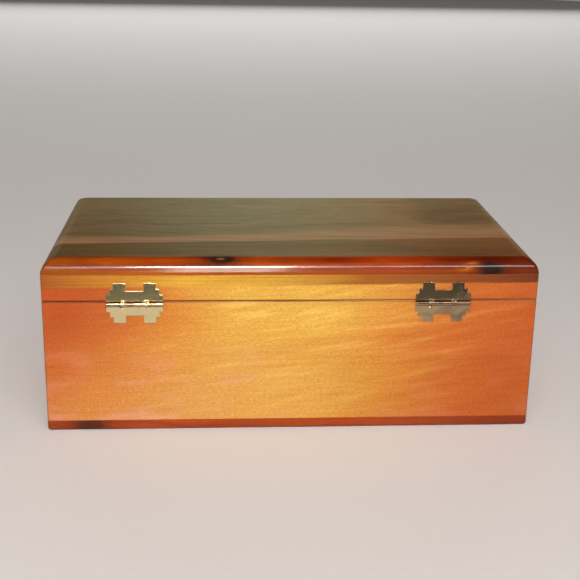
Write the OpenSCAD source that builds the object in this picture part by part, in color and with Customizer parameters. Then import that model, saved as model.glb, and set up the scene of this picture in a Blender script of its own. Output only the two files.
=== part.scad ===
// Small hinged keepsake box of varnished cedar with stamped brass hinges and a key lock.
// Origin: centre of the resting face. +X runs along the box, -Y is the front, +Z is up.

/* [Box] */
// Length of the box
box_w = 228.6; // [160:0.1:320]
// Depth of the box, front face to back face
box_d = 121; // [90:1:200]
// Height of the lower box, to the middle of the seam
seam_z = 64.5; // [45:0.5:120]
// Thickness of the panels and lid rails
wall_t = 8.5; // [7:0.5:14]
// Thickness of the bottom board
bottom_t = 5.2; // [4:0.1:9]
// Gap between the lower box and the closed lid
seam_gap = 0.4; // [0.2:0.1:1]

/* [Lid] */
// Height of the lid rails
rail_h = 12.3; // [11:0.1:30]
// Thickness of the lid's top board
top_t = 6.8; // [4:0.1:12]
// Width of the rounded edge of the top board
top_round_w = 6.8; // [6.8:0.1:14]

/* [Joinery] */
// Depth of the rabbet that houses the end boards
rabbet_d = 4.5; // [2:0.5:6]
// Radius on the lower edges of the bottom board
bottom_round = 1.5; // [1:0.1:3.5]
// Number of brads along each long side
side_brads = 3; // [2:1:6]

/* [Hinges] */
// Half the distance between the two hinges
hinge_x = 71; // [45:0.1:90]
// How far the pair of hinges sits toward +X from the middle of the box
hinge_shift = 1.2; // [0:0.1:4]
// Width of a hinge
hinge_w = 25.8; // [22:0.1:32]
// Reach of a hinge leaf from the line midway between the leaves
leaf_reach = 9.6; // [8.5:0.1:11]
// Thickness of the stamped leaves
leaf_t = 0.5; // [0.4:0.1:0.8]
// Radius of the hinge barrel
barrel_r = 1.1; // [1:0.05:1.15]
// Radius of the hinge pin
hinge_pin_r = 0.55; // [0.4:0.05:0.6]

/* [Lock] */
// Width of the lock case over its flange
lock_w = 26; // [24:0.5:32]
// Radius of the turning plug's face
plug_r = 2.55; // [2:0.05:2.9]
// Depth of the lock case over the wood
case_depth = 3.4; // [3.4:0.1:4.5]

/* [Hidden] */
$fn = 48;
overcut = 1;          // how far a cutter runs past the face that it opens
running_fit = 0.05;   // radial clearance of a turning fit

lid_z = seam_z + seam_gap / 2;
panel_top_z = seam_z - seam_gap / 2;
rail_top_z = lid_z + rail_h;
lip_t = wall_t - rabbet_d;
end_len = box_d - 2 * lip_t;
// radius of an arc that leaves the top face smoothly and meets the side at the board's underside
top_arc_r = (top_round_w * top_round_w + top_t * top_t) / (2 * top_t);

brad_r = 0.6;
brad_head_r = 1.2;
brad_head_t = 0.6;
brad_sink = 0.3;
brad_top_z = 17;
brad_inset = 4;          // from the front and back faces to the brads
brad_span = 160;

// hinge: the pin's axis stands off the back face, a little under the seam
axis_off = barrel_r + 0.1;
axis_drop = 1.1;
pin_drop = 0.3;          // how far the pin lies below the line midway between the leaves
leaf_start = 1.3;        // from that line to the near edge of a leaf
lid_leaf_tilt = 6;       // the lid's leaf leans out over the barrel, its far edge stays on the wood
step_in = 1.6;
leaf_steps = [[hinge_w / 2, 4.3], [hinge_w / 2 - step_in, 6.8], [hinge_w / 2 - 2 * step_in, leaf_reach]];
notch_w = 8.1;
notch_floor = 6;
prong_w = 3;
prong_l = 4;
tab_x = (notch_w / 2 + hinge_w / 2 - 2 * step_in) / 2;
knuckle_gap = 0.2;
mid_knuckle_w = 13.2;
outer_knuckle_w = (hinge_w - mid_knuckle_w) / 2 - knuckle_gap;
web_w = 2.4;
web_t = 0.5;
body_web_z = 0.3;
lid_web_z = 0.9;
web_lap = 0.5;          // how far a web runs on over its leaf
stop_w = 1.4;
stop_x = mid_knuckle_w / 2 - stop_w / 2;
stop_r = 1.75;
stop_root_r = barrel_r - 0.2;
stop_angle = 42;      // leading side of the lid's stop lug with the lid closed
stop_spread = 20;
stop_tab_y = [-1.95, -1.45];
stop_tab_end = 0.5;   // how far the body's stop tab reaches past the pin's axis

// lock: local x runs along the box, local y up from the seam, local z out of the front face
sheet_t = 0.5;
plug_y = -8.7;
case_step = 1.6;
flange_steps = [[lock_w / 2, 2.9], [lock_w / 2 - case_step, 4.7], [lock_w / 2 - 2 * case_step, 6.5]];
strike_steps = [[lock_w / 2, 3.6], [lock_w / 2 - case_step, 6.2], [lock_w / 2 - 2 * case_step, 8.8]];
strike_start = 0.3;
dome_w = 16;
dome_h = 11.6;
tongue_x = [4.6, 6.6];
tongue_z = [1, 1.6];
tongue_end = -9;
hook_x = 2.9;
hook_y = [-11.3, -10.1];
slot_room = 0.3;
slot_z = [0.6, 2.2];
slot_cut_h = 2;         // height of the cutter that opens a slot in the case's top wall
strike_root_h = 1;      // height of the step where a tongue leaves the strike's plate
cam_z = [1.05, 1.55];
cam_reach = 4;
cam_w = 2;
plug_flange_r = 3.2;
plug_flange_z = [2.2, 2.85];
plug_proud = 0.3;
rivet_r = 1.2;
rivet_end_z = 0.55;
keyway_w = 0.8;
keyway_h = 3.2;
keyway_d = 1.6;
lock_pin_r = 0.5;
lock_pin_head_r = 1.1;
lock_pin_head_t = 0.6;
lock_pin_l = 6;
case_pin_x = lock_w / 2 - 2 * case_step - 1;
case_pin_y = 5.2;
strike_pin_x = 7.5;
strike_pin_y = 4.4;

cedar = "peru";
cedar_gold = "goldenrod";
cedar_dark = "sienna";
brass = "darkkhaki";
steel = "slategray";

// ---- placing ----

// puts the lock's local frame on the front face, at the seam
module on_front() {
  translate([0, -box_d / 2, seam_z]) rotate([90, 0, 0]) children();
}

// puts a hinge's local frame on the back face, level with the pin: local z points out of the face
module on_back(x) {
  translate([x, box_d / 2, seam_z - axis_drop]) rotate([90, 0, 180]) children();
}

// a round bar along local x, centred on the hinge pin's axis
module axis_bar(r, from_x, to_x) {
  translate([from_x, 0, axis_off]) rotate([0, 90, 0]) cylinder(r = r, h = to_x - from_x);
}

module block(low, high) {
  translate(low) cube(high - low);
}

// ---- boards ----

// long front board with a rabbet at each end that houses an end board
module rabbeted_board(low_z, high_z) {
  difference() {
    block([-box_w / 2, -box_d / 2, low_z], [box_w / 2, -box_d / 2 + wall_t, high_z]);
    for (side = [-1, 1])
      translate([side * box_w / 2, -box_d / 2 + lip_t + wall_t / 2, (low_z + high_z) / 2])
        cube([2 * wall_t, wall_t, high_z - low_z + 2 * overcut], center = true);
  }
}

// end board on the -X side
module end_board(low_z, high_z) {
  block([-box_w / 2, -end_len / 2, low_z], [-box_w / 2 + wall_t, end_len / 2, high_z]);
}

// section of the top board across a side of the given length, with both upper edges rounded
module top_section(side) {
  difference() {
    translate([-side / 2, 0]) square([side, top_t]);
    for (hand = [-1, 1])
      difference() {
        translate([hand * (side / 2 - top_round_w / 2), top_t / 2])
          square([top_round_w, top_t + 2 * overcut], center = true);
        translate([hand * (side / 2 - top_round_w), top_t - top_arc_r]) circle(r = top_arc_r, $fn = 96);
      }
  }
}

// section of the bottom board across a side of the given length, with both lower edges rounded
module bottom_section(side) {
  translate([-side / 2, bottom_round]) square([side, bottom_t - bottom_round]);
  translate([-side / 2 + bottom_round, 0]) square([side - 2 * bottom_round, bottom_t]);
  for (hand = [-1, 1])
    translate([hand * (side / 2 - bottom_round), bottom_round]) circle(r = bottom_round);
}

module along_x() {
  translate([-box_w / 2, 0, 0]) rotate([90, 0, 90]) linear_extrude(box_w) children();
}

module along_y() {
  translate([0, box_d / 2, 0]) rotate([90, 0, 0]) linear_extrude(box_d) children();
}

module brad_shapes(head_z) {
  for (side = [-1, 1]) {
    for (i = [0 : side_brads - 1])
      translate([brad_span * (i / (side_brads - 1) - 0.5), side * (box_d / 2 - brad_inset), 0])
        brad_shape(head_z);
    translate([side * (box_w / 2 - wall_t / 2), 0, 0]) brad_shape(head_z);
  }
}

module brad_shape(head_z) {
  translate([0, 0, head_z]) cylinder(r = brad_head_r, h = brad_sink + brad_head_t - head_z);
  translate([0, 0, brad_sink]) cylinder(r = brad_r, h = brad_top_z - brad_sink);
}

module bottom_board() {
  color(cedar_dark) difference() {
    intersection() {
      along_x() bottom_section(box_d);
      along_y() bottom_section(box_w);
    }
    brad_shapes(-overcut);
  }
}

module front_panel() {
  color(cedar) difference() {
    rabbeted_board(bottom_t, panel_top_z);
    brad_shapes(-overcut);
    lock_case_pin_shapes();
  }
}

module back_panel() {
  color(cedar_gold) difference() {
    mirror([0, 1, 0]) rabbeted_board(bottom_t, panel_top_z);
    brad_shapes(-overcut);
    all_prongs(-1);
  }
}

module left_end_panel() {
  color(cedar) difference() {
    end_board(bottom_t, panel_top_z);
    brad_shapes(-overcut);
  }
}

module right_end_panel() {
  color(cedar) difference() {
    mirror([1, 0, 0]) end_board(bottom_t, panel_top_z);
    brad_shapes(-overcut);
  }
}

module bottom_brads() {
  color(steel) brad_shapes(brad_sink);
}

module lid_top_board() {
  color(cedar_dark) translate([0, 0, rail_top_z]) intersection() {
    along_x() top_section(box_d);
    along_y() top_section(box_w);
  }
}

module lid_front_rail() {
  color(cedar) difference() {
    rabbeted_board(lid_z, rail_top_z);
    lock_strike_pin_shapes();
  }
}

module lid_back_rail() {
  color(cedar_gold) difference() {
    mirror([0, 1, 0]) rabbeted_board(lid_z, rail_top_z);
    all_prongs(1);
  }
}

module lid_left_rail() {
  color(cedar) end_board(lid_z, rail_top_z);
}

module lid_right_rail() {
  color(cedar) mirror([1, 0, 0]) end_board(lid_z, rail_top_z);
}

// ---- hinges: hand is 1 for the lid's leaf, which lies above the pin, and -1 for the body's leaf ----

module leaf_plan() {
  difference() {
    for (step = leaf_steps)
      translate([-step[0], leaf_start]) square([2 * step[0], step[1] - leaf_start]);
    translate([-notch_w / 2, notch_floor]) square([notch_w, leaf_reach]);
  }
}

// prongs bent from the leaf's far edges into the wood
module prongs() {
  for (x = [-tab_x, tab_x])
    block([x - prong_w / 2, leaf_reach - leaf_t, -prong_l], [x + prong_w / 2, leaf_reach, leaf_t]);
  block([-prong_w / 2, notch_floor - leaf_t, -prong_l], [prong_w / 2, notch_floor, leaf_t]);
}

module all_prongs(hand) {
  for (x = [-hinge_x, hinge_x])
    on_back(x + hinge_shift) scale([1, hand, 1]) translate([0, hand * pin_drop, 0]) prongs();
}

module leaf_plate(tilt, hand) {
  translate([0, hand * pin_drop, 0]) {
    translate([0, leaf_reach, 0]) rotate([-tilt, 0, 0]) translate([0, -leaf_reach, 0])
      linear_extrude(leaf_t) leaf_plan();
    prongs();
  }
}

// strip that joins the leaf to its knuckle, clear of the wood under it
module leaf_web(center_x, width, low_z, hand) {
  block([center_x - width / 2, 0, low_z],
        [center_x + width / 2, leaf_start + hand * pin_drop + web_lap, low_z + web_t]);
}

// lug on the lid's knuckle that meets the body's stop tab when the lid is open
module stop_lug(x) {
  far_angle = stop_angle + stop_spread;
  translate([x - stop_w / 2, 0, axis_off]) rotate([0, 90, 0]) linear_extrude(stop_w)
    polygon([for (p = [[stop_root_r, stop_angle], [stop_r, stop_angle],
                    [stop_r, far_angle], [stop_root_r, far_angle]])
      [-p[0] * cos(p[1]), p[0] * sin(p[1])]]);
}

module lid_leaf(x) {
  on_back(x) difference() {
    union() {
      leaf_plate(lid_leaf_tilt, 1);
      axis_bar(barrel_r, -mid_knuckle_w / 2, mid_knuckle_w / 2);
      for (side = [-1, 1]) {
        leaf_web(side * (mid_knuckle_w - web_w) / 2, web_w, lid_web_z, 1);
        stop_lug(side * stop_x);
      }
    }
    axis_bar(hinge_pin_r + running_fit, -hinge_w, hinge_w);
  }
}

module body_leaf(x) {
  outer_x = (hinge_w - outer_knuckle_w) / 2;
  on_back(x) difference() {
    union() {
      mirror([0, 1, 0]) leaf_plate(0, -1);
      for (side = [-1, 1]) {
        axis_bar(barrel_r, side * outer_x - outer_knuckle_w / 2, side * outer_x + outer_knuckle_w / 2);
        mirror([0, 1, 0]) leaf_web(side * outer_x, outer_knuckle_w, body_web_z, -1);
        block([side * stop_x - stop_w / 2, stop_tab_y[0], 0],
              [side * stop_x + stop_w / 2, stop_tab_y[1], axis_off + stop_tab_end]);
      }
    }
    axis_bar(hinge_pin_r, -hinge_w, hinge_w);
  }
}

module hinge_pin(x) {
  on_back(x) axis_bar(hinge_pin_r, -hinge_w / 2, hinge_w / 2);
}

module hinge_left_body_leaf() { color(brass) body_leaf(hinge_shift - hinge_x); }
module hinge_left_lid_leaf() { color(brass) lid_leaf(hinge_shift - hinge_x); }
module hinge_left_pin() { color(steel) hinge_pin(hinge_shift - hinge_x); }
module hinge_right_body_leaf() { color(brass) body_leaf(hinge_shift + hinge_x); }
module hinge_right_lid_leaf() { color(brass) lid_leaf(hinge_shift + hinge_x); }
module hinge_right_pin() { color(steel) hinge_pin(hinge_shift + hinge_x); }

// ---- lock ----

// pin with a domed head that stands on the flange and a shank in the wood
module lock_pin() {
  dome_r = (lock_pin_head_r * lock_pin_head_r + lock_pin_head_t * lock_pin_head_t) / (2 * lock_pin_head_t);
  translate([0, 0, sheet_t - lock_pin_l]) cylinder(r = lock_pin_r, h = lock_pin_l);
  translate([0, 0, sheet_t]) intersection() {
    translate([0, 0, lock_pin_head_t - dome_r]) sphere(r = dome_r);
    cylinder(r = lock_pin_head_r, h = lock_pin_head_t);
  }
}

module lock_case_pin_shapes() {
  on_front()
    for (side = [-1, 1], level = [-1, 1])
      translate([side * case_pin_x, plug_y + level * case_pin_y, 0]) lock_pin();
}

module lock_strike_pin_shapes() {
  on_front()
    for (side = [-1, 1])
      translate([side * strike_pin_x, strike_pin_y, 0]) lock_pin();
}

module lock_case() {
  inner_w = dome_w - 2 * sheet_t;
  inner_h = dome_h - 2 * sheet_t;
  color(brass) difference() {
    on_front() translate([0, plug_y, 0]) difference() {
      union() {
        linear_extrude(sheet_t)
          for (step = flange_steps) square([2 * step[0], 2 * step[1]], center = true);
        translate([0, 0, case_depth / 2]) cube([dome_w, dome_h, case_depth], center = true);
      }
      translate([0, 0, case_depth / 2 - sheet_t / 2 - overcut / 2])
        cube([inner_w, inner_h, case_depth - sheet_t + overcut], center = true);
      cylinder(r = plug_r + running_fit, h = case_depth + overcut);
      for (side = [-1, 1])
        translate([side * (hook_x + tongue_x[1]) / 2, dome_h / 2, (slot_z[0] + slot_z[1]) / 2])
          cube([tongue_x[1] - hook_x + 2 * slot_room, slot_cut_h, slot_z[1] - slot_z[0]], center = true);
    }
    lock_case_pin_shapes();
  }
}

module lock_case_pins() {
  color(brass) lock_case_pin_shapes();
}

module lock_plug() {
  face_z = case_depth + plug_proud;
  color(brass) on_front() translate([0, plug_y, 0]) difference() {
    union() {
      translate([0, 0, rivet_end_z]) cylinder(r = rivet_r, h = cam_z[1] - rivet_end_z);
      translate([0, 0, cam_z[1]]) cylinder(r = cam_w, h = plug_flange_z[0] - cam_z[1]);
      translate([0, 0, plug_flange_z[0]])
        cylinder(r = plug_flange_r, h = plug_flange_z[1] - plug_flange_z[0]);
      translate([0, 0, plug_flange_z[1]]) cylinder(r = plug_r, h = face_z - plug_flange_z[1]);
    }
    block([-keyway_w / 2, -keyway_h / 2, face_z - keyway_d], [keyway_w / 2, keyway_h / 2, face_z + overcut]);
    translate([0, 0, face_z - keyway_d]) cylinder(r = keyway_w, h = keyway_d + overcut);
  }
}

module lock_cam() {
  color(steel) on_front() translate([0, plug_y, cam_z[0]]) difference() {
    union() {
      cylinder(r = cam_w, h = cam_z[1] - cam_z[0]);
      block([-cam_w / 2, 0, 0], [cam_w / 2, cam_reach, cam_z[1] - cam_z[0]]);
    }
    translate([0, 0, -overcut]) cylinder(r = rivet_r, h = 2 * overcut + cam_z[1]);
  }
}

module lock_strike() {
  color(brass) difference() {
    on_front() {
      linear_extrude(sheet_t)
        for (step = strike_steps)
          translate([-step[0], strike_start]) square([2 * step[0], step[1] - strike_start]);
      for (side = [-1, 1])
        scale([side, 1, 1]) {
          block([tongue_x[0], strike_start, 0], [tongue_x[1], strike_start + strike_root_h, tongue_z[1]]);
          block([tongue_x[0], tongue_end, tongue_z[0]],
                [tongue_x[1], strike_start + strike_root_h, tongue_z[1]]);
        }
      block([tongue_x[0], hook_y[0], tongue_z[0]], [tongue_x[1], tongue_end, tongue_z[1]]);
      block([hook_x, hook_y[0], tongue_z[0]], [tongue_x[1], hook_y[1], tongue_z[1]]);
    }
    lock_strike_pin_shapes();
  }
}

module lock_strike_pins() {
  color(brass) lock_strike_pin_shapes();
}

bottom_board();
front_panel();
back_panel();
left_end_panel();
right_end_panel();
bottom_brads();
lid_top_board();
lid_front_rail();
lid_back_rail();
lid_left_rail();
lid_right_rail();
hinge_left_body_leaf();
hinge_left_lid_leaf();
hinge_left_pin();
hinge_right_body_leaf();
hinge_right_lid_leaf();
hinge_right_pin();
lock_case();
lock_case_pins();
lock_plug();
lock_cam();
lock_strike();
lock_strike_pins();
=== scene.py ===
"""Looks of a small hinged keepsake box of varnished cedar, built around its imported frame.

Lengths are in metres unless a name ends in _mm. The wood's patterns are worked out in millimetres.
"""

import math

import bmesh
import bpy
from mathutils import Matrix, Vector


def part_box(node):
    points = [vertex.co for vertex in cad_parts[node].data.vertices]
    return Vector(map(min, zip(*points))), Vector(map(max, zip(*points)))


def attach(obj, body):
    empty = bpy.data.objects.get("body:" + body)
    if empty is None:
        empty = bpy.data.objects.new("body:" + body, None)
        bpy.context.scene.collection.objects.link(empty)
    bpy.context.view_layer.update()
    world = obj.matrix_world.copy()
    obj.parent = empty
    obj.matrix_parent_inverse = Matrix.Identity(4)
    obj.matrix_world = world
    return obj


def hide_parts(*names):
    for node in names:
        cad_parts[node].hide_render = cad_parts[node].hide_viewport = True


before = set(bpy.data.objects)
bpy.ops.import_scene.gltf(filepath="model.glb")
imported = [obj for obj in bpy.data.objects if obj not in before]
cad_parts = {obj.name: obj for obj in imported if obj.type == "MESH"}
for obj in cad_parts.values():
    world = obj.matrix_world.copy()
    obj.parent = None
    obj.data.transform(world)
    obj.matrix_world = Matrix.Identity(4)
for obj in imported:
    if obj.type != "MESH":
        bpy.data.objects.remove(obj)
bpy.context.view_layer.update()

MM = 0.001

# ---- where things are, read from the frame ----

box_low, box_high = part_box("bottom_board")
top_low, top_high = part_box("lid_top_board")
end_low, end_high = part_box("left_end_panel")
back_low, back_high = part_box("back_panel")
rail_low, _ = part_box("lid_back_rail")
pin_low, pin_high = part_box("hinge_left_pin")

HALF_LENGTH = box_high.x
HALF_DEPTH = box_high.y
WALL = end_high.x - end_low.x
LIP = HALF_DEPTH - end_high.y            # wood of a long board that covers the end board's edge
CORNER = 1.0 * MM                        # rounding of the box's upright corners
EASE = 0.35 * MM                         # easing of the edges along the seam and the rims
GLUE_EASE = 0.12 * MM                    # the trace of a glued joint
BOTTOM_ROUND = 1.5 * MM                  # rounding of the bottom board's lower edges
BRAD_HEAD = 1.2 * MM                     # radius of a brad's head
BRAD_POCKET = 0.9 * MM                   # depth of the pocket that a brad's head sits in
BRAD_REACH = 80.0 * MM                   # from the middle to the outer brads of a long side
BRAD_INSET = 4.0 * MM                    # from the front and back faces to the brads
FLAT_STEP = 0.8 * MM                     # narrow ring of a board's flat face beside its rounded edge
CORNER_SPREAD = 0.35                     # how much a corner's radius grows for each metre of inset
ROUND_STEPS = 6                          # faces in a quarter turn of a board's corner
SOFT_ANGLE = 40                          # wood edges that turn less than this many degrees shade as one face
METAL_SOFT_ANGLE = 36                    # the same for metal
PIN_Z = (pin_low.z + pin_high.z) / 2
SEAM_Z = (back_high.z + rail_low.z) / 2

CAMERA_PLACE = (0.0311, 0.5095, 0.2285)
CAMERA_YAW, CAMERA_PITCH, CAMERA_ROLL = -3.736, -16.623, 1.013      # in degrees
CAMERA_SENSOR_MM = 36.0
CAMERA_LENS_MM = 64.53
CAMERA_SHIFT_Y = -0.0881

LIGHT_TARGET = (0.0, 0.0, 0.06)
WARM_WHITE = (1.0, 0.96, 0.86)
SOFT_WHITE = (1.0, 0.985, 0.96)
NIGHT = (0.006, 0.006, 0.006)


# ---- shader building ----

class Field:
    """A number that varies over a surface. Arithmetic on it adds shader nodes."""

    def __init__(self, graph, socket):
        self.graph = graph
        self.socket = socket

    def __add__(self, other):
        return self.graph.math("ADD", self, other)

    def __sub__(self, other):
        return self.graph.math("SUBTRACT", self, other)

    def __rsub__(self, other):
        return self.graph.math("SUBTRACT", other, self)

    def __mul__(self, other):
        return self.graph.math("MULTIPLY", self, other)

    def __truediv__(self, other):
        return self.graph.math("DIVIDE", self, other)

    def __pow__(self, other):
        return self.graph.math("POWER", self, other)

    __radd__ = __add__
    __rmul__ = __mul__

    def apply(self, operation, *others):
        return self.graph.math(operation, self, *others)

    def smooth(self, low, high):
        """0 below low, 1 above high, and a soft step between them."""
        return self.graph.remap(self, low, high, 0.0, 1.0)


class Graph:
    """A node tree of a material or a world, with short ways to add and join its nodes."""

    def __init__(self, owner):
        owner.use_nodes = True
        self.tree = owner.node_tree
        self.tree.nodes.clear()

    def join(self, socket, value):
        if isinstance(value, Field):
            value = value.socket
        if isinstance(value, bpy.types.NodeSocket):
            self.tree.links.new(value, socket)
        elif hasattr(value, "__len__") and len(value) == 3 and socket.type == "RGBA":
            socket.default_value = (*value, 1.0)
        else:
            socket.default_value = value

    def add(self, kind, inputs=None, **settings):
        node = self.tree.nodes.new(kind)
        for name, value in settings.items():
            setattr(node, name, value)
        for name, value in (inputs or {}).items():
            self.join(node.inputs[name], value)
        return node

    def math(self, operation, *values):
        node = self.add("ShaderNodeMath", operation=operation)
        for socket, value in zip(node.inputs, values):
            self.join(socket, value)
        return Field(self, node.outputs[0])

    def remap(self, value, low, high, to_low, to_high):
        ends = {"Value": value, "From Min": low, "From Max": high, "To Min": to_low, "To Max": to_high}
        node = self.add("ShaderNodeMapRange", ends, interpolation_type="SMOOTHSTEP")
        return Field(self, node.outputs["Result"])

    def split(self, vector):
        node = self.add("ShaderNodeSeparateXYZ", {"Vector": vector})
        return [Field(self, socket) for socket in node.outputs]

    def combine(self, x, y, z):
        return self.add("ShaderNodeCombineXYZ", {"X": x, "Y": y, "Z": z}).outputs[0]

    def noise(self, x, y, z, detail=2.0, roughness=0.5):
        """Noise from 0 to 1, with features about one unit long in x, y and z."""
        inputs = {"Vector": self.combine(x, y, z), "Scale": 1.0, "Detail": detail, "Roughness": roughness}
        return Field(self, self.add("ShaderNodeTexNoise", inputs).outputs["Fac"])

    def multiply(self, amount, colour, by):
        return self.mix(amount, colour, by, "MULTIPLY")

    def ramp(self, value, stops):
        node = self.add("ShaderNodeValToRGB", {"Fac": value})
        elements = node.color_ramp.elements
        while len(elements) < len(stops):
            elements.new(0.5)
        for element, (place, colour) in zip(elements, stops):
            element.position = place
            element.color = (*colour, 1.0)
        return node.outputs["Color"]

    def mix(self, amount, under, over, how="MIX"):
        node = self.add("ShaderNodeMix", data_type="RGBA", blend_type=how, clamp_factor=True)
        for index, value in ((0, amount), (6, under), (7, over)):
            self.join(node.inputs[index], value)
        return node.outputs[2]

    def bump(self, height, distance):
        return self.add("ShaderNodeBump", {"Height": height, "Distance": distance}).outputs["Normal"]

    def millimetres(self):
        """The place on the object, in millimetres along x, y and z."""
        place = self.add("ShaderNodeTexCoord").outputs["Object"]
        scaled = self.add("ShaderNodeVectorMath", {0: place, "Scale": 1 / MM}, operation="SCALE")
        return self.split(scaled.outputs[0])

    def facing(self):
        """The x, y and z parts of the face's normal."""
        return self.split(self.add("ShaderNodeTexCoord").outputs["Normal"])

    def surface(self, shader):
        self.add("ShaderNodeOutputMaterial", {"Surface": shader})


def new_graph(name):
    material = bpy.data.materials.new(name)
    return material, Graph(material)


# ---- wood ----

def from_end_to_end(x):
    """0 at the left end of the box and 1 at its right end."""
    return (x + HALF_LENGTH / MM) / (2 * HALF_LENGTH / MM)


def distance_from(g, knot, along, across, z):
    """Distance from a knot's middle, where 1 is the knot's own size each way."""
    near = g.math("ADD", ((along - knot["along"]) / knot["long"]) ** 2,
                  ((across - knot["across"]) / knot["wide"]) ** 2 + ((z - knot["z"]) / knot["high"]) ** 2)
    return near ** 0.5


def wood_grain(g, across_grain, pith_mm, lean, ring_mm, knots, seed):
    """The fields that make cedar's colour and relief, on a solid log whose pith runs along the board."""
    x, y, z = g.millimetres()
    normal_x, normal_y, _ = g.facing()
    along, across, end_normal = (y, x, normal_y) if across_grain else (x, y, normal_x)

    sway = g.noise(along / 85 + seed, across / 55, z / 55, 1.0) - 0.5
    heave = g.noise(along / 60, across / 45 + seed, z / 45, 2.0) - 0.5
    right = across - pith_mm[0] + sway * 9
    up = z - pith_mm[1] - along * lean + heave * 9
    radius = (right * right + up * up) ** 0.5
    for knot in knots:
        reach = distance_from(g, knot, along, across, z)
        knot["reach"] = reach
        radius = radius + g.math("EXPONENT", reach * reach * -0.35) * knot["pull"]

    ring = radius / ring_mm
    return {
        "x": x, "y": y, "z": z, "along": along, "across": across, "ring": ring,
        "end": end_normal.apply("ABSOLUTE").smooth(0.45, 0.85),
        "tone": g.noise(ring * 0.3, along / 260, seed + 3.1, 2.0),
        "band": g.noise(ring * 1.3, along / 160, seed + 11.7, 2.0, 0.6),
        "line": g.noise(ring * 5.2, along / 90, seed + 23.3, 3.0, 0.65),
        "late": ring.apply("FRACT").smooth(0.35, 0.95),
        "fibre": g.noise(along / 9, across * 2.6, z * 2.6, 2.0, 0.6),
        "fleck": g.noise(along / 1.7, across * 3.4, z * 3.4 + seed, 1.0).smooth(0.6, 0.74),
        "grit": g.noise(along * 1.1 + seed, across * 2.4, z * 2.4, 2.0, 0.7),
        "stipple": g.noise(along / 1.5 + seed, across * 1.9, z * 1.9, 2.0, 0.6),
    }


def varnish(g, colour, w, coat, gloss=0.09):
    """Clear glossy varnish over the wood, which telegraphs a trace of the grain."""
    grain = w["fibre"] * 0.5 + w["late"] * 0.5
    peel = g.noise(w["along"] / 5, w["across"] / 2.4, w["z"] / 2.4, 2.0)
    shader = g.add("ShaderNodeBsdfPrincipled", {
        "Base Color": colour,
        "Roughness": w["fibre"] * 0.16 + 0.36,
        "Specular IOR Level": 0.1,
        "Coat Weight": coat,
        "Coat Roughness": gloss,
        "Coat IOR": 1.5,
        "Normal": g.bump(grain, 0.03 * MM),
        "Coat Normal": g.bump(peel + w["fibre"] * 0.12, 0.02 * MM),
    })
    g.surface(shader.outputs[0])


def cedar_colour(g, w, dark, middle, light, contrast=1.0, lines=0.22):
    """Rings from dark to light, with lines of late wood and a fine fibrous texture."""
    mixture = w["tone"] * 0.5 + w["band"] * 0.32 + w["line"] * 0.18
    spread = (mixture - 0.5) * (2.4 * contrast) + 0.5
    colour = g.ramp(spread, [(0.0, dark), (0.5, middle), (1.0, light)])
    colour = g.multiply(w["late"] * lines * contrast, colour, (0.62, 0.42, 0.28))
    colour = g.multiply(w["fibre"].smooth(0.42, 0.7) * 0.22, colour, (0.70, 0.55, 0.44))
    colour = g.multiply(w["grit"].smooth(0.40, 0.66) * 0.22, colour, (0.66, 0.52, 0.44))
    colour = g.multiply(w["stipple"].smooth(0.40, 0.62) * 0.55, colour, (0.74, 0.62, 0.50))
    return g.multiply(w["fleck"] * 0.3, colour, (0.62, 0.45, 0.36))


def end_grain(g, w, colour, depth=(0.45, 0.30, 0.24)):
    """Darker, porous wood where a board's end shows."""
    pores = g.noise(w["ring"] * 4, w["across"] * 2.2, w["z"] * 2.2, 2.0)
    return g.multiply(w["end"] * (pores * 0.4 + 0.7), colour, depth)


def board_tone_and_sheen(x, z, glow_x_mm, wave, flame):
    """How golden a long board is, partly its own tone and partly a painted sheen: 1 in the glow and less
    toward both ends. Also where a point lies in it.
    """
    lit = x - glow_x_mm + (z - 35) * 0.33 + wave * 40 + (flame - 0.5) * 22
    right_side = (lit * -1.0).smooth(-6, 6)
    low_side = (60 - z).smooth(0, 55)
    glow = 1.04 - (lit.apply("ABSOLUTE") * (1 - right_side * 0.16)).smooth(4, 112)
    glow = glow + lit.smooth(20, 95) * (low_side * 0.52 - 0.12) + right_side * low_side * 0.10
    return glow, right_side, low_side


def board_figure(g, w, colour, glow, right_side, low_side, flame, seed):
    """Flame-like streaks, painted glints, painted light on the upper middle, rosy clouds lower down and a
    painted bluish floor reflection low on the board.
    """
    x, z = w["x"], w["z"]
    streak = flame.smooth(0.50, 0.78) * (glow * 0.30 + 0.02) * (1 - low_side * 0.65)
    colour = g.mix(streak, colour, (0.95, 0.62, 0.17))
    colour = g.multiply((1 - flame).smooth(0.48, 0.78) * 0.24, colour, (0.90, 0.66, 0.46))
    # Painted glints: small pale specks of light scattered over the wood.
    painted_glint = g.noise(x / 0.9 + seed, z * 1.5, 8.8, 1.0).smooth(0.58, 0.78)
    colour = g.multiply(painted_glint * 0.6, colour, (1.14, 1.20, 1.25))
    # Painted light: the upper middle of the board made paler and cooler where the sheen is strongest.
    painted_light_above = glow * glow * (z - 36).smooth(0, 24)
    colour = g.multiply(painted_light_above, colour, (1.06, 1.17, 1.14))
    rosy = (g.noise(x / 26, z / 11, seed + 7, 2.0) - 0.1).smooth(0.36, 0.62) * low_side
    colour = g.mix(rosy * (0.22 - right_side * 0.14), colour, (0.80, 0.40, 0.27))
    # Painted reflection: a bluish cast low on the board, less on its right side, stands in for the pale floor
    # reflected there.
    return g.multiply(low_side * (1 - right_side * 0.6), colour, (1.0, 0.98, 1.5))


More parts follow.
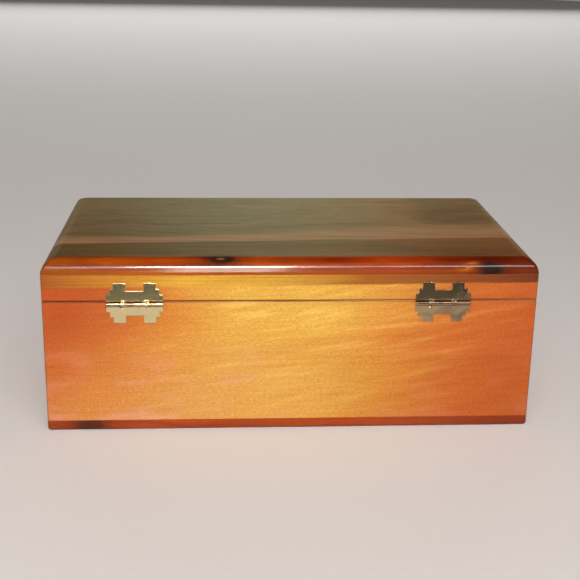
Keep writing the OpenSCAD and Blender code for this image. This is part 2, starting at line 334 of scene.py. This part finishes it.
def band_under_top(g, w, colour, seed):
    """The streaky gold-brown band that runs along the rail just under the lid's top board."""
    x, z = w["x"], w["z"]
    edge = z - 71.8 + x * 0.011 + (g.noise(x / 30, z / 9, seed + 9) - 0.5) * 1.4
    gold_brown = g.ramp(from_end_to_end(x), [
        (0.0, (0.12, 0.022, 0.002)), (0.35, (0.31, 0.088, 0.006)), (0.52, (0.58, 0.31, 0.030)),
        (0.72, (0.70, 0.39, 0.038)), (0.87, (0.50, 0.21, 0.016)), (1.0, (0.35, 0.09, 0.009))])
    streaks = g.noise(x / 40, z * 1.3, seed + 4, 3.0, 0.6).smooth(0.35, 0.7)
    gold_brown = g.multiply(streaks * 0.55, gold_brown, (0.58, 0.44, 0.34))
    mottle = g.noise(x / 2.4, z * 1.7, seed + 6, 2.0, 0.7).smooth(0.42, 0.66)
    gold_brown = g.multiply(mottle * 0.4, gold_brown, (0.62, 0.50, 0.40))
    return g.mix(edge.smooth(-0.3, 0.5) * 0.92, colour, gold_brown)


def long_side_material(name, pith_mm, seed, glow_x_mm):
    """Boards of the front and back: golden in the middle, orange-red toward both ends. The golden middle is
    partly the wood's own tone and partly a painted sheen.
    """
    material, g = new_graph(name)
    w = wood_grain(g, False, pith_mm, -0.03, 3.1, [], seed)
    x, z = w["x"], w["z"]
    wave = g.noise(x / 70, z / 26, seed, 2.0) - 0.5
    flame = g.noise((x + z * 0.5) / 34, (z + x * 0.19) / 4.4, seed + 5, 3.0, 0.55)
    glow, right_side, low_side = board_tone_and_sheen(x, z, glow_x_mm, wave, flame)
    # Wood tone with a painted sheen: the glow runs from orange-red at the ends to gold in the middle.
    colour = g.ramp(glow, [(0.0, (0.46, 0.087, 0.012)), (0.35, (0.54, 0.147, 0.021)),
                           (0.7, (0.625, 0.260, 0.040)), (1.0, (0.68, 0.376, 0.065))])
    grain = cedar_colour(g, w, (0.84, 0.74, 0.60), (1.0, 0.97, 0.94), (1.0, 1.0, 1.0), 0.8, 0.10)
    colour = g.multiply(1.0, colour, grain)
    colour = board_figure(g, w, colour, glow, right_side, low_side, flame, seed)
    lower_ring = (38 + wave * 2 - z).smooth(0, 1.6) * (glow_x_mm - 18 - x).smooth(0, 30)
    colour = g.multiply(lower_ring * 0.7, colour, (0.90, 0.88, 0.66))
    # Painted shade: a dark, uneven line along the seam between box and lid, which also dulls the eased edges
    # there.
    seam_band = 1 - (z - SEAM_Z / MM).apply("ABSOLUTE").smooth(0.3, 0.95)
    painted_seam_shade = seam_band * (g.noise(x / 13, 4.4, seed, 2.0) + 0.25)
    colour = g.multiply(painted_seam_shade, colour, (0.34, 0.20, 0.12))
    colour = band_under_top(g, w, colour, seed)
    varnish(g, end_grain(g, w, colour), w, coat=0.45)
    return material


def end_side_material(name, pith_mm, seed):
    """Boards of the ends: plain orange-brown cedar."""
    material, g = new_graph(name)
    w = wood_grain(g, True, pith_mm, -0.02, 2.4, [], seed)
    colour = cedar_colour(g, w, (0.30, 0.060, 0.009), (0.54, 0.150, 0.024), (0.70, 0.28, 0.050))
    varnish(g, end_grain(g, w, colour), w, coat=0.45)
    return material


def knot_colour(g, w, colour, knot, halo, heart):
    """A knot: grain that swirls round a dark heart, at times with a paler eye."""
    reach = knot["reach"]
    swirl = g.noise(reach * 2.2, w["along"] / 7, w["z"] / 4 + w["across"] / 4, 2.0, 0.55)
    shadow = 1 - (reach + (swirl - 0.5) * 1.6).smooth(0.6, 3.4)
    colour = g.multiply(shadow * knot["shadow"], colour, (0.28, 0.17, 0.14))
    core = 1 - (reach + (swirl - 0.5) * 0.8).smooth(0.55, 1.5)
    colour = g.mix(core * knot["dark"], colour, heart)
    eye = 1 - (reach + (swirl - 0.5) * 0.3).smooth(0.1, 0.45)
    return g.mix(eye * knot["eye"], colour, halo)


def top_flat(g, w):
    """The flat of the top: olive brown, a streak of pale sapwood and a redder band along the back."""
    x, y = w["x"], w["y"]
    colour = cedar_colour(g, w, (0.080, 0.043, 0.016), (0.155, 0.092, 0.038), (0.245, 0.155, 0.070), 1.3)
    side = g.ramp(from_end_to_end(x), [
        (0.0, (1.25, 0.78, 0.64)), (0.25, (1.34, 1.02, 0.95)), (0.5, (1.08, 1.16, 1.40)),
        (0.75, (0.88, 0.98, 1.20)), (1.0, (0.90, 0.80, 0.78))])
    colour = g.multiply(1.0, colour, side)
    from_band = 28.5 + x * 0.045 + (g.noise(x / 50, 2.2, 4.1, 2.0) - 0.5) * 3 - y
    spread = g.noise(x / 45, y / 16, 3.3, 2.0) * 9 + 8 + (20 - x).smooth(0, 90) * 14
    sapwood = from_band.smooth(-0.8, 0.8) * (1 - (from_band / spread).smooth(0.5, 1.2))
    colour = g.mix(sapwood * 0.70, colour, (0.34, 0.158, 0.080))
    near_band = 1 - from_band.smooth(-0.8, 0.8)
    colour = g.multiply(near_band, colour, (0.90, 0.64, 0.42))
    thread = g.noise(x / 46, y / 1.7, 5.5, 3.0, 0.6).smooth(0.48, 0.68)
    return g.multiply(thread * 0.65, colour, (0.50, 0.34, 0.24))


def top_moulding(g, w):
    """The rounded edge: fiery red-orange, darker toward the left end, with a golden fan beside a knot."""
    x, y, z = w["x"], w["y"], w["z"]
    flow = g.noise(x / 60, y / 3 + z / 1.6, 12.5, 3.0, 0.6)
    colour = g.ramp(flow, [(0.3, (0.13, 0.013, 0.001)), (0.5, (0.27, 0.036, 0.0015)),
                           (0.72, (0.42, 0.095, 0.003))])
    colour = g.mix((80.2 - z).smooth(0, 1.6) * 0.6, colour, (0.34, 0.080, 0.010))
    ends = g.ramp(from_end_to_end(x), [
        (0.0, (0.34, 0.22, 0.2)), (0.16, (0.60, 0.44, 0.3)), (0.3, (0.97, 0.72, 0.6)),
        (0.5, (1.0, 0.95, 0.9)), (0.8, (1.0, 0.95, 0.5)), (1.0, (0.8, 1.0, 0.5))])
    colour = g.multiply(1.0, colour, ends)
    fan = g.noise(x / 6, y / 2.2, z / 1.4, 2.0, 0.55).smooth(0.34, 0.62)
    glow = g.math("EXPONENT", ((x + 80.6 + z - 80) / 3.6) ** 2 * -1.0) * (fan * 0.6 + 0.08)
    glow = glow * (z - 77.5).smooth(0, 2.5) * (1 - (z - 81.5).smooth(0, 1.6))
    return g.mix(glow, colour, (0.60, 0.15, 0.006))


def top_material():
    """The lid's top board: an olive brown flat and a fiery red-orange moulding with two knots."""
    material, g = new_graph("cedar_top")
    knots = [
        {"along": 33, "across": 56.0, "z": 83.2, "long": 6.5, "wide": 2.8, "high": 2.6, "pull": 5,
         "dark": 0.88, "shadow": 0.85, "eye": 0.5},
        {"along": -92, "across": 59.8, "z": 78.8, "long": 4.6, "wide": 4.2, "high": 3.7, "pull": 6,
         "dark": 0.96, "shadow": 0.6, "eye": 0.0},
    ]
    w = wood_grain(g, False, (-28, -90), 0.0, 3.4, knots, 41.0)
    over_edge = (w["y"].apply("ABSOLUTE") - 53.2).smooth(0, 1.8)
    colour = g.mix(over_edge, top_flat(g, w), top_moulding(g, w))
    for knot in knots:
        colour = knot_colour(g, w, colour, knot, (0.40, 0.16, 0.030), (0.013, 0.006, 0.005))
    end = g.facing()[0].apply("ABSOLUTE").smooth(0.1, 0.6)
    varnish(g, end_grain(g, w, colour, (0.5, 0.36, 0.3)), w, coat=1 - end * 0.75, gloss=0.10)
    return material


def bottom_material():
    """Deep red, brighter in the middle, with one knot near the right end."""
    material, g = new_graph("cedar_bottom")
    knots = [{"along": 94, "across": 60.5, "z": 2.4, "long": 6.5, "wide": 6, "high": 3.4, "pull": 4,
              "dark": 0.8, "shadow": 0.4, "eye": 0.0}]
    w = wood_grain(g, False, (12, 44), 0.0, 2.8, knots, 67.0)
    colour = cedar_colour(g, w, (0.13, 0.017, 0.003), (0.28, 0.046, 0.007), (0.40, 0.085, 0.013))
    middling = 1 - (w["x"] - 20).apply("ABSOLUTE").smooth(40, 130)
    colour = g.multiply(1.0, colour, g.mix(middling, (0.78, 0.66, 0.62), (1.36, 1.30, 1.12)))
    for knot in knots:
        colour = knot_colour(g, w, colour, knot, (0.30, 0.075, 0.016), (0.045, 0.010, 0.003))
    varnish(g, end_grain(g, w, colour), w, coat=0.35)
    return material


def raw_material(name, across_grain, pith_mm, seed):
    """Bare aromatic cedar inside the box: rosy heartwood with cream sapwood, no finish."""
    material, g = new_graph(name)
    w = wood_grain(g, across_grain, pith_mm, 0.01, 2.7, [], seed)
    colour = cedar_colour(g, w, (0.34, 0.115, 0.060), (0.52, 0.235, 0.130), (0.66, 0.37, 0.21))
    sap = w["tone"].smooth(0.56, 0.66)
    colour = g.mix(sap * 0.8, colour, (0.78, 0.58, 0.36))
    colour = end_grain(g, w, colour, (0.6, 0.5, 0.42))
    relief = w["fibre"] * 0.6 + w["late"] * 0.4
    shader = g.add("ShaderNodeBsdfPrincipled", {
        "Base Color": colour,
        "Roughness": w["fibre"] * 0.15 + 0.62,
        "Specular IOR Level": 0.3,
        "Normal": g.bump(relief, 0.08 * MM),
    })
    g.surface(shader.outputs[0])
    return material


# ---- metal ----

def brass_material(name, clean, dull, tarnish, wave_mm, seed):
    """Thin stamped brass: lightly buckled, lacquer worn in patches, brown where it has tarnished, with
    painted shade beside the barrel and painted highlights along the edges.
    """
    material, g = new_graph(name)
    x, y, z = g.millimetres()
    patches = g.noise(x / 5 + seed, y / 5, z / 5, 3.0, 0.6)
    cloud = g.noise(x / 11, y / 11 + seed, z / 9, 1.0)
    brushed = g.noise(x / 3, y * 9, z * 9, 2.0)
    spots = g.noise(x * 1.6, y * 1.6, z * 1.6 + seed, 2.0).smooth(0.64, 0.74)
    worn = (patches * 0.5 + cloud * 0.5).smooth(0.60 - tarnish * 0.3, 0.85 - tarnish * 0.3)
    colour = g.mix(worn, clean, dull)
    colour = g.mix(spots * 0.45, colour, (0.16, 0.10, 0.05))

    barrel_side = 1.25                   # from the pin's axis to the lines where the barrel meets the leaves
    from_pin = (z - PIN_Z / MM).apply("ABSOLUTE")
    # Painted shade: dark lines where the barrel meets the leaves, outside the wood.
    painted_crevice_shade = 1 - (from_pin - barrel_side).apply("ABSOLUTE").smooth(0.1, 0.55)
    out_of_wood = 1 - (y - HALF_DEPTH / MM).smooth(0.9, 1.7)
    colour = g.mix(painted_crevice_shade * out_of_wood * 0.8, colour, (0.10, 0.065, 0.03))
    on_barrel = 1 - from_pin.smooth(0.9, 1.2)
    rolled = g.noise(x / 2.2 + seed, y * 1.3, z * 1.3, 2.0, 0.6)
    wave = g.noise(x / 6.5 + seed, y / 4, z / 4, 1.0) + rolled * on_barrel * 3.5
    colour = g.mix(on_barrel * (rolled.smooth(0.36, 0.60) * 0.7 + 0.25), colour, (0.30, 0.17, 0.10))

    edge = g.add("ShaderNodeBevel", {"Radius": 0.4 * MM}, samples=6).outputs["Normal"]
    flat = g.add("ShaderNodeNewGeometry").outputs["True Normal"]
    agree = g.add("ShaderNodeVectorMath", {0: edge, 1: flat}, operation="DOT_PRODUCT").outputs["Value"]
    # Painted highlight: pale, glossier brass along the rolled edges, as if they caught the light.
    painted_edge_highlight = (1 - Field(g, agree)).smooth(0.02, 0.2)
    colour = g.mix(painted_edge_highlight * 0.8, colour, (1.0, 0.90, 0.66))
    relief = {"Height": wave + brushed * 0.004, "Distance": wave_mm * MM, "Normal": edge}
    shader = g.add("ShaderNodeBsdfPrincipled", {
        "Base Color": colour,
        "Metallic": 1.0,
        "Roughness": (worn * 0.16 + brushed * 0.08) * (1 - painted_edge_highlight) + 0.16,
        "Normal": g.add("ShaderNodeBump", relief).outputs["Normal"],
    })
    g.surface(shader.outputs[0])
    return material


def steel_material():
    """Drawn wire with specks of rust."""
    material, g = new_graph("steel")
    x, y, z = g.millimetres()
    rust = g.noise(x * 1.2, y * 1.2, z * 1.2, 4.0, 0.65).smooth(0.52, 0.66)
    drawn = g.noise(x / 2, y * 8, z * 8, 2.0)
    shader = g.add("ShaderNodeBsdfPrincipled", {
        "Base Color": g.mix(rust, (0.42, 0.41, 0.40), (0.16, 0.07, 0.035)),
        "Metallic": 1.0 - rust * 0.8,
        "Roughness": rust * 0.35 + drawn * 0.12 + 0.26,
        "Normal": g.bump(drawn + rust, 0.01 * MM),
    })
    g.surface(shader.outputs[0])
    return material


# ---- mesh building ----

def piece(name, bm, body, materials, replaced):
    """Turns a bmesh into a piece that stands for a CAD node and rides on its body."""
    mesh = bpy.data.meshes.new(name)
    bm.to_mesh(mesh)
    bm.free()
    for material in materials:
        mesh.materials.append(material)
    made = bpy.data.objects.new(name, mesh)
    bpy.context.scene.collection.objects.link(made)
    weigh_normals(made)
    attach(made, body)
    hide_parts(replaced)
    return made


def weigh_normals(made):
    """Keeps broad faces flat beside the narrow ones of a worked edge."""
    weighted = made.modifiers.new("weighted_normals", "WEIGHTED_NORMAL")
    weighted.keep_sharp = True


def shade(bm, sharp_angle):
    """Smooth shading, kept crisp along edges that turn by more than the angle."""
    bm.normal_update()
    for face in bm.faces:
        face.smooth = True
    for edge in bm.edges:
        edge.smooth = len(edge.link_faces) == 2 and edge.calc_face_angle(math.pi) < math.radians(sharp_angle)


def ease(bm, edges, width):
    """Rolls the edges over by the given width."""
    bmesh.ops.bevel(bm, geom=edges, offset=width, segments=2, profile=0.5, affect="EDGES",
                    clamp_overlap=True)


def rounded_rectangle(half_x, half_y, radius):
    points = []
    for corner, (side_x, side_y) in enumerate(((1, 1), (-1, 1), (-1, -1), (1, -1))):
        for i in range(ROUND_STEPS + 1):
            turn = math.pi / 2 * (corner + i / ROUND_STEPS)
            points.append((side_x * (half_x - radius) + radius * math.cos(turn),
                           side_y * (half_y - radius) + radius * math.sin(turn)))
    return points


def loft(profile):
    """A flat board with worked edges. Its profile lists inset, height and corner radius, from below up."""
    bm = bmesh.new()
    rings = []
    for inset, height, radius in profile:
        outline = rounded_rectangle(HALF_LENGTH - inset, HALF_DEPTH - inset, radius)
        rings.append([bm.verts.new((x, y, height)) for x, y in outline])
    for lower, upper in zip(rings, rings[1:]):
        for i in range(len(lower)):
            j = (i + 1) % len(lower)
            bm.faces.new((lower[i], lower[j], upper[j], upper[i]))
    bm.faces.new(list(reversed(rings[0])))
    bm.faces.new(rings[-1])
    return bm


def top_board():
    """The lid's top: the underside is flat, the upper edge is a wide rounded moulding."""
    arc = top_high.z - top_low.z                # the rounding takes the board's whole edge
    steps = 14
    profile = [(CORNER * 2, top_low.z, CORNER), (GLUE_EASE, top_low.z, CORNER)]
    for i in range(steps + 1):
        turn = math.pi / 2 * i / steps
        inset = arc * (1 - math.cos(turn))
        rise = arc * math.sin(turn)
        profile.append((inset, top_low.z + max(rise, GLUE_EASE), CORNER + inset * CORNER_SPREAD))
    flat = arc + FLAT_STEP
    profile.append((flat, top_high.z, CORNER + flat * CORNER_SPREAD))
    bm = loft(profile)
    shade(bm, SOFT_ANGLE)
    inside_x, inside_y = HALF_LENGTH - WALL, HALF_DEPTH - WALL
    for face in bm.faces:
        centre = face.calc_center_median()
        under = face.normal.z < -0.9 and abs(centre.x) < inside_x and abs(centre.y) < inside_y
        face.material_index = 1 if under else 0
    return bm


def bottom_board():
    """The floor of the box: rounded lower edges and eight sunk brads underneath."""
    radius = BOTTOM_ROUND
    steps = 8
    profile = [(radius + FLAT_STEP, box_low.z, CORNER)]
    for i in range(steps + 1):
        turn = math.pi / 2 * i / steps
        inset = radius * (1 - math.sin(turn))
        profile.append((inset, box_low.z + radius * (1 - math.cos(turn)), CORNER + inset * CORNER_SPREAD))
    profile.append((0.0, box_high.z - GLUE_EASE, CORNER))
    profile.append((GLUE_EASE, box_high.z, CORNER))
    profile.append((CORNER * 2, box_high.z, CORNER))
    bm = loft(profile)
    shade(bm, SOFT_ANGLE)
    for face in bm.faces:
        face.material_index = 1 if face.normal.z > 0.9 else 0
    return bm


def brad_places():
    """Where the brads are driven: three along each long side and one in the middle of each end."""
    side_y = HALF_DEPTH - BRAD_INSET
    end_x = HALF_LENGTH - WALL / 2
    along = [(x, side * side_y) for side in (-1, 1) for x in (-BRAD_REACH, 0.0, BRAD_REACH)]
    return along + [(-end_x, 0.0), (end_x, 0.0)]


def drill_brad_pockets(board):
    """Cuts the round pockets that the sunk brad heads show in."""
    bm = bmesh.new()
    overcut = 1.0 * MM
    for x, y in brad_places():
        middle = Matrix.Translation((x, y, (BRAD_POCKET - overcut) / 2))
        bmesh.ops.create_cone(bm, cap_ends=True, segments=24, radius1=BRAD_HEAD, radius2=BRAD_HEAD,
                              depth=BRAD_POCKET + overcut, matrix=middle)
    mesh = bpy.data.meshes.new("brad_drill")
    bm.to_mesh(mesh)
    bm.free()
    drill = bpy.data.objects.new("brad_drill", mesh)
    bpy.context.scene.collection.objects.link(drill)
    board.modifiers.clear()
    cut = board.modifiers.new("brads", "BOOLEAN")
    cut.operation = "DIFFERENCE"
    cut.solver = "EXACT"
    cut.object = drill
    cut_mesh = bpy.data.meshes.new_from_object(board.evaluated_get(bpy.context.evaluated_depsgraph_get()))
    board.modifiers.clear()
    board.data = cut_mesh
    weigh_normals(board)
    bpy.data.objects.remove(drill)


def long_board(low_z, high_z, side, seam_is_top):
    """Front or back board or rail, with rounded upright corners and rabbets that house the end boards."""
    outer = HALF_DEPTH
    plan = []
    steps = 5
    for hand in (1, -1):
        arc = []
        for i in range(steps + 1):
            turn = math.pi / 2 * i / steps
            arc.append((hand * (HALF_LENGTH - CORNER + CORNER * math.cos(turn)),
                        outer - CORNER + CORNER * math.sin(turn)))
        rabbet = [(hand * (HALF_LENGTH - WALL), outer - WALL), (hand * (HALF_LENGTH - WALL), outer - LIP),
                  (hand * HALF_LENGTH, outer - LIP)]
        stretch = rabbet + arc
        plan += stretch if hand == 1 else list(reversed(stretch))
    bm = bmesh.new()
    rings = [[bm.verts.new((x, y * side, z)) for x, y in plan] for z in (low_z, high_z)]
    for i in range(len(plan)):
        j = (i + 1) % len(plan)
        bm.faces.new((rings[0][i], rings[0][j], rings[1][j], rings[1][i]))
    bm.faces.new(list(reversed(rings[0])))
    bm.faces.new(rings[1])
    bmesh.ops.recalc_face_normals(bm, faces=bm.faces)
    seam_z = high_z if seam_is_top else low_z
    rim = [edge for edge in bm.edges if all(abs(v.co.z - seam_z) < 1e-6 for v in edge.verts)
           and not all(abs(v.co.y) < outer - LIP + 1e-6 and abs(v.co.x) > HALF_LENGTH - WALL - 1e-6
                       for v in edge.verts)]
    ease(bm, rim, EASE)
    shade(bm, SOFT_ANGLE)
    for face in bm.faces:
        centre = face.calc_center_median()
        hidden = abs(centre.y) < outer - LIP + 1e-5 and not abs(face.normal.x) > 0.9
        rim_face = abs(face.normal.z) > 0.9
        face.material_index = 1 if hidden or rim_face else 0
    return bm


def end_board(low_z, high_z, side, seam_is_top):
    """End board or rail. Its upright edges keep the fine trace of the glued rabbet."""
    outer, inner, reach_y = HALF_LENGTH, HALF_LENGTH - WALL, HALF_DEPTH - LIP
    seam_z, glued_z, away = (high_z, low_z, -1) if seam_is_top else (low_z, high_z, 1)
    steps = 2
    turns = [math.pi / 2 * i / steps for i in range(steps + 1)]
    edge = [(EASE * (1 - math.cos(turn)), seam_z + away * EASE * (1 - math.sin(turn))) for turn in turns]
    section = [(outer, glued_z)] + [(outer - inset, z) for inset, z in edge]
    section += [(inner + inset, z) for inset, z in reversed(edge)] + [(inner, glued_z)]
    bm = bmesh.new()
    rings = []
    for y, limit in ((-reach_y, outer - GLUE_EASE), (GLUE_EASE - reach_y, outer),
                     (reach_y - GLUE_EASE, outer), (reach_y, outer - GLUE_EASE)):
        rings.append([bm.verts.new((side * min(x, limit), y, z)) for x, z in section])
    for near, far in zip(rings, rings[1:]):
        for i in range(len(section)):
            j = (i + 1) % len(section)
            bm.faces.new((near[i], near[j], far[j], far[i]))
    bm.faces.new(list(reversed(rings[0])))
    bm.faces.new(rings[-1])
    bmesh.ops.recalc_face_normals(bm, faces=bm.faces)
    shade(bm, SOFT_ANGLE)
    for face in bm.faces:
        facing_out = face.normal.x * side > 0.3
        face.material_index = 0 if facing_out else 1
    return bm


def refined(node, width):
    """A CAD node's own shape with its outer edges rolled over, as on stamped or turned metal."""
    sharp = 30                           # degrees by which an edge has to turn
    bm = bmesh.new()
    bm.from_mesh(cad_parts[node].data)
    bmesh.ops.remove_doubles(bm, verts=bm.verts, dist=1e-6)
    bmesh.ops.dissolve_limit(bm, angle_limit=math.radians(0.6), verts=bm.verts, edges=bm.edges)
    bm.normal_update()
    edges = [edge for edge in bm.edges if len(edge.link_faces) == 2 and edge.is_convex
             and edge.calc_face_angle() > math.radians(sharp) and edge.calc_length() > 2.2 * width]
    ease(bm, edges, width)
    shade(bm, METAL_SOFT_ANGLE)
    return bm


# ---- the pieces ----

def build_wood():
    back = long_side_material("cedar_back", (20, 175), 2.0, 15)
    front = long_side_material("cedar_front", (-24, -120), 17.0, -20)
    raw_long = raw_material("cedar_raw_long", False, (0, -36), 31.0)
    raw_cross = raw_material("cedar_raw_cross", True, (0, -30), 37.0)
    levels = {"panel": (back_low.z, back_high.z), "rail": (rail_low.z, top_low.z)}
    for kind, (low_z, high_z) in levels.items():
        body = "box" if kind == "panel" else "lid"
        seam_is_top = kind == "panel"
        prefix = "" if kind == "panel" else "lid_"
        for place, side, finish in (("front", -1, front), ("back", 1, back)):
            node = f"{prefix}{place}_{kind}"
            piece(f"{node}_wood", long_board(low_z, high_z, side, seam_is_top), body,
                  [finish, raw_long], node)
        for place, side, seed in (("left", -1, 53.0), ("right", 1, 59.0)):
            node = f"{place}_end_{kind}" if kind == "panel" else f"lid_{place}_{kind}"
            name = f"cedar_{place}_end"
            finish = bpy.data.materials.get(name) or end_side_material(name, (side * 20, 20), seed)
            piece(f"{node}_wood", end_board(low_z, high_z, side, seam_is_top), body,
                  [finish, raw_cross], node)
    piece("lid_top_board_wood", top_board(), "lid", [top_material(), raw_long], "lid_top_board")
    bottom = piece("bottom_board_wood", bottom_board(), "box", [bottom_material(), raw_long],
                   "bottom_board")
    drill_brad_pockets(bottom)


def build_metal():
    bright = brass_material("brass_bright", (0.80, 0.68, 0.38), (0.56, 0.43, 0.20), 0.1, 0.016, 3.0)
    bronzed = brass_material("brass_bronzed", (0.46, 0.34, 0.20), (0.28, 0.18, 0.12), 0.5, 0.018, 8.0)
    plated = brass_material("brass_plated", (0.80, 0.66, 0.38), (0.50, 0.37, 0.18), 0.2, 0.014, 13.0)
    steel = steel_material()
    for place, finish in (("left", bronzed), ("right", bright)):
        for leaf, body in (("body", "box"), ("lid", "lid")):
            node = f"hinge_{place}_{leaf}_leaf"
            piece(f"{node}_brass", refined(node, 0.10 * MM), body, [finish], node)
        node = f"hinge_{place}_pin"
        piece(f"{node}_steel", refined(node, 0.12 * MM), "box", [steel], node)
    for node, body in (("lock_case", "box"), ("lock_case_pins", "box"), ("lock_plug", "plug"),
                       ("lock_strike", "lid"), ("lock_strike_pins", "lid")):
        piece(f"{node}_brass", refined(node, 0.08 * MM), body, [plated], node)
    for node, body in (("bottom_brads", "box"), ("lock_cam", "plug")):
        piece(f"{node}_steel", refined(node, 0.06 * MM), body, [steel], node)


# ---- stage ----

def build_floor():
    bm = bmesh.new()
    reach = 9.0
    corners = [(-reach, -reach), (reach, -reach), (reach, reach), (-reach, reach)]
    bm.faces.new([bm.verts.new((x, y, 0.0)) for x, y in corners])
    mesh = bpy.data.meshes.new("floor")
    bm.to_mesh(mesh)
    bm.free()
    floor = bpy.data.objects.new("floor", mesh)
    bpy.context.scene.collection.objects.link(floor)
    material, g = new_graph("floor_paper")
    x, y, z = g.split(g.add("ShaderNodeTexCoord").outputs["Object"])
    cloud = g.noise(x * 5, y * 5, z, 3.0)
    # Painted light: the paper turns nearly white far behind the box, where the lamps' light falls off.
    far = (y * -1.0).smooth(0.1, 1.6)
    tooth = g.noise(x * 900, y * 900, z, 2.0)
    near_paper = g.mix(cloud * 0.5, (0.63, 0.595, 0.61), (0.60, 0.565, 0.58))
    shader = g.add("ShaderNodeBsdfPrincipled", {
        "Base Color": g.mix(far, near_paper, (0.96, 0.96, 0.96)),
        "Roughness": 0.75,
        "Specular IOR Level": 0.2,
        "Normal": g.bump(tooth, 0.05 * MM),
    })
    g.surface(shader.outputs[0])
    mesh.materials.append(material)


def build_backdrop():
    """A pale sweep of paper all round, seen by the camera only. It glows with painted light, darker toward
    the floor.
    """
    bm = bmesh.new()
    reach, high, sides = 3.4, 3.0, 96
    turns = [math.tau * i / sides for i in range(sides)]
    rim = [(reach * math.cos(turn), reach * math.sin(turn)) for turn in turns]
    rings = [[bm.verts.new((x, y, z)) for x, y in rim] for z in (0.001, high)]
    for i in range(sides):
        j = (i + 1) % sides
        bm.faces.new((rings[0][j], rings[0][i], rings[1][i], rings[1][j]))
    mesh = bpy.data.meshes.new("backdrop")
    bm.to_mesh(mesh)
    bm.free()
    backdrop = bpy.data.objects.new("backdrop", mesh)
    backdrop.visible_diffuse = False
    backdrop.visible_glossy = False
    backdrop.visible_shadow = False
    bpy.context.scene.collection.objects.link(backdrop)
    material, g = new_graph("backdrop_paper")
    z = g.split(g.add("ShaderNodeTexCoord").outputs["Object"])[2]
    # Painted light: the sweep glows darker near the floor and paler higher up.
    pale = g.mix(z.smooth(0.0, 1.2), (0.30, 0.285, 0.275), (0.56, 0.55, 0.54))
    g.surface(g.add("ShaderNodeEmission", {"Color": pale, "Strength": 1.0}).outputs[0])
    mesh.materials.append(material)


def area_light(name, place, size, power, in_reflections=True):
    """A soft box that faces the object. Fill lights keep out of the reflections in varnish and brass."""
    data = bpy.data.lights.new(name, "AREA")
    data.color = WARM_WHITE if in_reflections else SOFT_WHITE
    data.shape = "RECTANGLE"
    data.size, data.size_y = size
    data.energy = power
    light = bpy.data.objects.new(name, data)
    light.location = place
    light.visible_glossy = in_reflections
    bpy.context.scene.collection.objects.link(light)
    toward = Vector(LIGHT_TARGET) - light.location
    light.rotation_euler = toward.to_track_quat("-Z", "Y").to_euler()


def build_flag():
    """A dark card low behind the camera, as a photographer sets up to keep metal from glaring."""
    mesh = bpy.data.meshes.new("flag")
    half, near, high = 0.8, 0.36, 0.085
    mesh.from_pydata([(-half, near, 0.002), (half, near, 0.002), (half, near, high), (-half, near, high)], [],
                     [(0, 1, 2, 3)])
    flag = bpy.data.objects.new("flag", mesh)
    flag.visible_camera = False
    flag.visible_diffuse = False
    flag.visible_shadow = False
    bpy.context.scene.collection.objects.link(flag)
    material, g = new_graph("flag_felt")
    shader = g.add("ShaderNodeBsdfPrincipled", {"Base Color": (0.045, 0.055, 0.035), "Roughness": 0.9})
    g.surface(shader.outputs[0])
    mesh.materials.append(material)


def build_world():
    """A dim room with a pale green band low in front of the box, for varnish and brass to reflect."""
    world = bpy.data.worlds.new("studio")
    bpy.context.scene.world = world
    g = Graph(world)
    x, y, z = g.split(g.add("ShaderNodeTexCoord").outputs["Generated"])
    middle = g.ramp(z, [(0.23, (0.48, 0.48, 0.27)), (0.30, (0.28, 0.31, 0.18)), (0.37, (0.26, 0.29, 0.17)),
                        (0.43, (0.02, 0.02, 0.02)), (1.0, NIGHT)])
    sides = g.ramp(z, [(0.23, (0.26, 0.25, 0.13)), (0.30, (0.10, 0.08, 0.035)), (0.37, (0.08, 0.07, 0.03)),
                       (0.43, (0.02, 0.02, 0.02)), (1.0, NIGHT)])
    low = g.mix((x + 0.05).apply("ABSOLUTE").smooth(0.03, 0.19), middle, sides)
    ahead = (y * -1.0).smooth(0.3, 0.9)
    colour = g.mix(ahead * 0.85 + 0.15, NIGHT, low)
    background = g.add("ShaderNodeBackground", {"Color": colour, "Strength": 1.0})
    g.add("ShaderNodeOutputWorld", {"Surface": background.outputs[0]})


def build_lights():
    area_light("key", (0.05, 0.95, 0.98), (0.26, 0.20), 6.5)
    area_light("window", (0.03, 0.95, 0.50), (0.16, 0.74), 3.6)
    area_light("halo", (0.07, 0.96, 0.92), (0.52, 0.30), 2.4)
    area_light("side", (-0.37, 0.95, 1.00), (0.30, 0.20), 1.2)
    area_light("strip", (0.0, 0.97, 1.10), (1.5, 0.05), 1.2)
    area_light("fill", (0.0, 1.9, 2.3), (4.6, 4.6), 63.0, in_reflections=False)
    area_light("back_fill", (0.0, -2.4, 1.0), (3.0, 1.6), 20.0, in_reflections=False)


def build_camera():
    """The camera stands behind the box, turned a little from its middle line, and looks slightly down."""
    yaw, pitch, roll = (math.radians(angle) for angle in (CAMERA_YAW, CAMERA_PITCH, CAMERA_ROLL))
    ahead = Vector((math.sin(yaw) * math.cos(pitch), -math.cos(yaw) * math.cos(pitch), math.sin(pitch)))
    level = ahead.cross(Vector((0, 0, 1))).normalized()
    upright = level.cross(ahead)
    right = level * math.cos(roll) + upright * math.sin(roll)
    up = upright * math.cos(roll) - level * math.sin(roll)
    data = bpy.data.cameras.new("camera")
    data.sensor_width = CAMERA_SENSOR_MM
    data.lens = CAMERA_LENS_MM
    data.shift_y = CAMERA_SHIFT_Y
    camera = bpy.data.objects.new("camera", data)
    turn = Matrix((right, up, -ahead)).transposed()
    camera.matrix_world = Matrix.Translation(CAMERA_PLACE) @ turn.to_4x4()
    bpy.context.scene.collection.objects.link(camera)
    bpy.context.scene.camera = camera


build_camera()
build_wood()
build_metal()
build_floor()
build_backdrop()
build_flag()
build_world()
build_lights()
bpy.context.scene.view_settings.view_transform = "Standard"
